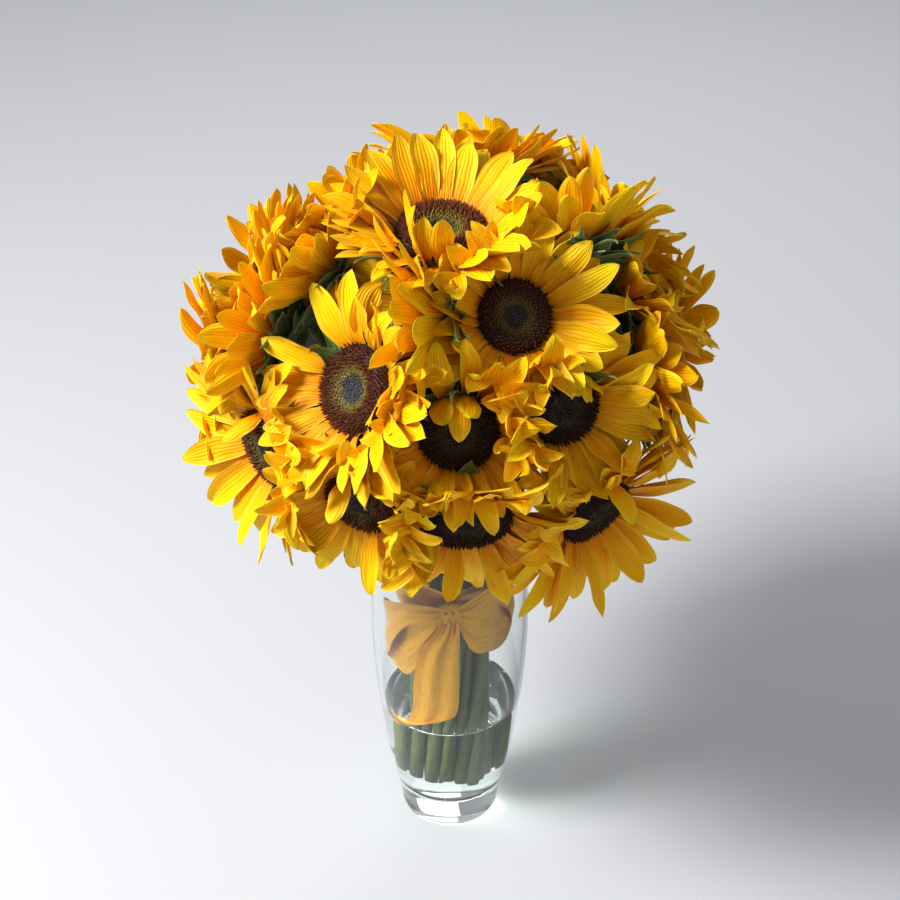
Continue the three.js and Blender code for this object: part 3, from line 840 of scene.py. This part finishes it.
def makeDisc(flower):
    chance = flower["chance"]
    right, up, out = flower["axes"]
    disc = flower["disc"]
    count = int(seeds["countAt26"] * (disc / 26) ** 2)
    index = np.arange(count)
    ring = np.sqrt((index + 0.5) / count)
    turn = np.radians(index * seeds["goldenAngle"]) + chance.uniform(0, 2 * pi)
    outer = np.clip((ring - 0.42) / 0.16, 0, 1)
    reach = disc * ring * 0.985
    wide = 0.95 - 0.25 * outer + chance.normal(0, 0.05, count)
    tall = 1.5 + 2.5 * outer + chance.normal(0, 0.35, count)
    lean = 0.1 + 0.55 * np.clip((ring - 0.75) / 0.25, 0, 1) - 0.2 * (1 - outer)
    lean = lean + chance.normal(0, 0.13, count)
    swing = chance.normal(0, 0.16, count)
    template = bud["points"][None, :, :]
    level = template[..., 2]
    neck = np.where(level > 1.5, 0.0, np.where(level > 0.5, 0.82, 1.0))
    top = np.where(level > 1.5, 1.0, level * 0.62)
    radiusOut = wide[:, None] * neck
    high = tall[:, None] * top
    radial = np.cos(turn)[:, None, None] * right + np.sin(turn)[:, None, None] * up
    tangent = -np.sin(turn)[:, None, None] * right + np.cos(turn)[:, None, None] * up
    spin = turn[:, None] * 3
    localX = template[..., 0] * np.cos(spin) - template[..., 1] * np.sin(spin)
    localY = template[..., 0] * np.sin(spin) + template[..., 1] * np.cos(spin)
    along = reach[:, None] + radiusOut * localX + high * np.sin(lean)[:, None]
    aside = radiusOut * localY + high * swing[:, None]
    height = discHeight(ring)[:, None] - 0.6 + high * np.cos(lean)[:, None]
    points = flower["centre"] + along[..., None] * radial + aside[..., None] * tangent
    points = points + height[..., None] * out
    marks = {"ring": ring[:, None], "tip": top, "tone": np.full((count, 1), flower["ripeAndShade"])}
    florets = meshOfCopies("seedDisc" + flower["number"], bud, points * mm, marks)
    rings = np.linspace(0, 1, 14)
    bottom = -4.6
    profile = [(0, bottom), (disc * 0.9, bottom)] + [(disc * r, discHeight(r)) for r in rings[:0:-1]]
    profile += [(0, discHeight(0.0))]
    cushion = turnedPiece("discBody", [(r * mm, float(h) * mm) for r, h in profile], flower, 40)
    cushion.data.uv_layers.new(name="UVMap")
    markPoints(cushion, "tip", 0.0)
    markPoints(cushion, "tone", flower["ripeAndShade"])
    place = np.zeros(len(cushion.data.vertices) * 3)
    cushion.data.vertices.foreach_get("co", place)
    offset = place.reshape(-1, 3) / mm - flower["centre"]
    offset -= (offset @ out)[:, None] * out
    ringAt = (np.linalg.norm(offset, axis=1) / disc).astype(np.float32)
    cushion.data.attributes.new("ring", "FLOAT", "POINT").data.foreach_set("value", ringAt)
    piece = joinPieces([florets, cushion])
    smooth(piece, 50)
    finishPiece(piece, "disc", ["stem_" + flower["number"]])


for flower in flowers:
    makeDisc(flower)
print("seed discs ready")


# stems: the design's own stems with the head cut off, rounded, and sharp where they were cut
stem = {"cutSlant": 3, "plump": 0.3}


def makeStem(flower):
    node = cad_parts["stem_" + flower["number"]]
    mesh = node.data.copy()
    piece = bpy.data.objects.new("flowerStem" + flower["number"], mesh)
    bpy.context.scene.collection.objects.link(piece)
    mesh.materials.clear()
    out = Vector(flower["axes"][2])
    cut = Vector(flower["centre"] * mm) - out * (calyx["depth"] + 1.5) * mm
    bpy.ops.object.select_all(action="DESELECT")
    bpy.context.view_layer.objects.active = piece
    piece.select_set(True)
    bpy.ops.object.mode_set(mode="EDIT")
    bpy.ops.mesh.select_all(action="SELECT")
    bpy.ops.mesh.remove_doubles(threshold=0.00001)
    bpy.ops.mesh.bisect(plane_co=cut, plane_no=out, use_fill=True, clear_outer=True)
    bpy.ops.mesh.select_all(action="SELECT")
    bpy.ops.mesh.dissolve_limited(angle_limit=math.radians(1))
    bpy.ops.mesh.select_all(action="SELECT")
    bpy.ops.mesh.normals_make_consistent(inside=False)
    bpy.ops.object.mode_set(mode="OBJECT")
    piece.select_set(False)
    low = min(vertex.co.z for vertex in mesh.vertices) + stem["cutSlant"] * mm
    foot = [all(mesh.vertices[index].co.z < low for index in edge.vertices) for edge in mesh.edges]
    crease = mesh.attributes.new("crease_edge", "FLOAT", "EDGE")
    crease.data.foreach_set("value", np.array(foot, dtype=np.float32))
    applyModifier(piece, "SUBSURF", levels=2, render_levels=2)
    applyModifier(piece, "DISPLACE", strength=stem["plump"] * mm, mid_level=0)
    smooth(piece, 45)
    finishPiece(piece, "stem", ["stem_" + flower["number"]])


for flower in flowers:
    makeStem(flower)
print("stems ready")


# vase and water
vase = {
    "outside": [(0, 31), (0.6, 32.2), (4, 33.4), (15, 35), (35, 39), (57, 43.6), (80, 46.6),
                (105, 49.8), (130, 51.8), (156, 53), (190, 52.6), (233, 50)],
    "wall": 3, "floor": 22, "floorDip": 0.6, "fillet": 9, "steps": 128, "waterLevel": 95,
    "waterBite": 0.15,             # the water reaches this far into the glass, so no air shows between
}


def smoothRadius(height):
    levels = np.array([level for level, radius in vase["outside"]])
    radii = np.array([radius for level, radius in vase["outside"]])
    if height < 4:
        return float(np.interp(height, levels, radii))
    near = np.linspace(-9, 9, 13)
    weight = np.exp(-(near / 6) ** 2)
    tail = np.clip(height + near, 4, None)
    value = np.interp(tail, levels, radii)
    return float((value * weight).sum() / weight.sum())


def makeVase():
    outer = [(0, 0.5), (24, 0.3), (28, 0.0), (30.5, 0.0), (31.8, 0.5), (33.0, 2.0)]
    outer += [(smoothRadius(h), h) for h in np.linspace(5, 232.5, 60)]
    rim = smoothRadius(232.5)
    wall = vase["wall"]
    lip = [(rim - 0.3, 234.1), (rim - 0.9, 234.8), (rim - 0.5 * wall, 235.0),
           (rim - wall + 0.9, 234.8), (rim - wall + 0.3, 234.1)]
    corner = vase["floor"] + vase["fillet"]
    dip = vase["floor"] - vase["floorDip"]
    inner = [(smoothRadius(h) - wall, h) for h in np.linspace(232.5, corner, 50)]
    cornerRadius = inner[-1][0]
    fillet = [(cornerRadius - vase["fillet"] * (1 - math.cos(a)), corner - vase["fillet"] * math.sin(a))
              for a in np.linspace(0.2, pi / 2, 7)]
    profile = outer + lip + inner + fillet + [(0, dip)]
    profile = [(float(r) * mm, float(h) * mm) for r, h in profile]
    glass = turnedPiece("glassVase", profile, None, vase["steps"])
    smooth(glass, 60)
    finishPiece(glass, "glass", ["vase"])
    bite = vase["waterBite"]
    level = vase["waterLevel"]
    body = [(0, level)]
    edge = smoothRadius(level) - wall + bite
    body += [(edge * 0.5, level), (edge - 3, level), (edge - 1.2, level + 0.25), (edge, level + 1.1)]
    body += [(smoothRadius(h) - wall + bite, h) for h in np.linspace(level - 1, corner, 22)]
    body += [(r + bite, h - bite) for r, h in fillet]
    body += [(0, dip - bite)]
    body = [(float(r) * mm, float(h) * mm) for r, h in body]
    water = turnedPiece("vaseWater", body, None, vase["steps"])
    smooth(water, 60)
    finishPiece(water, "water", ["water"])


makeVase()
print("vase and water ready")


# ribbon: each sheet is a strip whose centre line and edges are given at a few stations
ribbon = {
    "thickness": 0.3, "knotHeight": 199,
    "wrap": {"radius": 37.3, "flare": 0.9, "low": 186, "high": 222, "overlap": 8},
    # stations: degrees round from the front towards +X, radius, upper edge, lower edge
    "left": [(-5, 44.8, 204, 196), (-18, 46.2, 206, 191), (-34, 47.4, 204, 187), (-48, 48.0, 200, 172),
             (-60, 47.6, 195, 152), (-67, 45.4, 192, 144), (-66, 42.8, 190, 140), (-56, 41.3, 190, 136),
             (-42, 41.0, 192, 138), (-27, 41.2, 195, 156), (-8, 42.2, 199, 186)],
    "right": [(5, 44.8, 204, 196), (18, 46.0, 212, 196), (34, 46.6, 219, 199), (48, 46.7, 222, 196),
              (60, 46.4, 219, 184), (68, 44.6, 213, 170), (66, 42.6, 206, 160), (54, 41.3, 200, 156),
              (38, 41.0, 197, 158), (22, 41.3, 196, 163), (8, 42.4, 199, 184)],
    "leftLength": 0.118, "rightLength": 0.102,     # the loops' strips laid flat, in metres
    # stations: height, radius, left edge, right edge (degrees)
    "tail": [(194, 43.8, -7, 7), (184, 44.6, -12, 8), (168, 44.4, -24, 8), (150, 43.4, -31, 8),
             (130, 42.8, -34, 8), (114, 42.8, -35, 7), (104, 43.6, -41, 1), (99.5, 44.6, -53, -14),
             (99, 44.4, -64, -30)],
}


# smooth values between stations
def between(stations, along):
    table = np.array(stations, dtype=float)
    at = np.linspace(0, 1, len(table))
    slope = np.gradient(table, at, axis=0)
    low = np.clip((along * (len(table) - 1)).astype(int), 0, len(table) - 2)
    step = at[1]
    t = ((along - at[low]) / step)[:, None]
    start, stop = table[low], table[low + 1]
    rise, fall = slope[low] * step, slope[low + 1] * step
    return ((2 * t ** 3 - 3 * t ** 2 + 1) * start + (t ** 3 - 2 * t ** 2 + t) * rise
            + (3 * t ** 2 - 2 * t ** 3) * stop + (t ** 3 - t ** 2) * fall).T


def onRound(turn, radius, height):
    return np.stack([radius * np.sin(turn), -radius * np.cos(turn), height], axis=1)


def satinSheet(name, node, across, along, place):
    bpy.ops.mesh.primitive_grid_add(x_subdivisions=across, y_subdivisions=along, size=2)
    sheet = bpy.context.object
    sheet.name = name
    flatPoints = np.zeros(len(sheet.data.vertices) * 3)
    sheet.data.vertices.foreach_get("co", flatPoints)
    flatPoints = flatPoints.reshape(-1, 3)
    points = place(flatPoints[:, 0], 0.5 + 0.5 * flatPoints[:, 1])
    sheet.data.vertices.foreach_set("co", (points * mm).ravel())
    sheet.data.update()
    applyModifier(sheet, "SOLIDIFY", thickness=ribbon["thickness"] * mm, offset=0)
    smooth(sheet, 60)
    finishPiece(sheet, "satin", [node])


# soft folds that run out from the knot, flattening towards the far end of a loop
def pleats(across, along, depth, count, phase):
    return depth * np.cos(pi * count * across + phase + 1.5 * along) * (1 - 0.5 * across ** 2)


def makeWrap():
    wrap = ribbon["wrap"]

    def place(across, along):
        turn = (along - 0.5) * math.radians(360 + wrap["overlap"])
        height = 0.5 * (wrap["low"] + wrap["high"]) + 0.5 * across * (wrap["high"] - wrap["low"])
        towardsKnot = np.exp(-np.abs(along - 0.5) / 0.12)
        height = height - (height - ribbon["knotHeight"]) * 0.45 * towardsKnot
        radius = wrap["radius"] + wrap["flare"] * across + 0.5 * (along - 0.5)
        radius = radius + pleats(across, 9 * along, 0.5, 2.2, 0.4) + 0.8 * towardsKnot
        return onRound(turn, radius, height)

    satinSheet("ribbonWrap", "ribbon_wrap", 18, 120, place)


def makeLoop(side, node):
    stations = ribbon[side]
    sign = -1 if side == "left" else 1

    def place(across, along):
        turn, radius, high, low = between(stations, along)
        height = 0.5 * (high + low) + 0.5 * across * (high - low)
        swell = np.sin(pi * np.clip(along, 0, 1))
        radius = radius + pleats(across, 2 * along, 0.9, 2.0, 0.7 * sign) * (1 - 0.6 * swell)
        radius = radius + 0.5 * swell * np.cos(1.5 * pi * across + 2)
        return onRound(np.radians(turn + 1.5 * across * swell * sign), radius, height)

    satinSheet("bowLoop" + side.capitalize(), node, 16, 72, place)


def makeTail():
    def place(across, along):
        height, radius, left, right = between(ribbon["tail"], along)
        turn = np.radians(0.5 * (left + right) + 0.5 * across * (right - left))
        slant = 8 * across * np.clip((along - 0.55) / 0.3, 0, 1) * (1 - np.clip((along - 0.85) / 0.15, 0, 1))
        gathered = np.clip(1 - along / 0.75, 0, 1)
        radius = radius + pleats(across, 1.5 * along, 0.6 + 1.6 * gathered, 2.1, 0.2)
        return onRound(turn, radius, height + slant)

    satinSheet("ribbonTail", "ribbon_tail", 24, 60, place)


def makeKnot():
    def place(across, along):
        swing = 2 * pi * along * 1.04
        radius = 43.0 + 3.2 * np.cos(swing) + 0.75 * np.cos(3.1 * pi * across + 0.5 * swing)
        height = ribbon["knotHeight"] + 8.6 * np.sin(swing) * (1 - 0.12 * across ** 2) + 0.8 * across
        return onRound(np.radians(8.2 * across * (1 + 0.18 * np.abs(np.sin(swing)))), radius, height)

    # the knot's strip is the ribbon folded in half lengthwise
    satinSheet("ribbonKnot", "ribbon_knot", 24, 48, place)


makeWrap()
makeLoop("left", "bow_loop_left")
makeLoop("right", "bow_loop_right")
makeTail()
makeKnot()
print("ribbon ready")
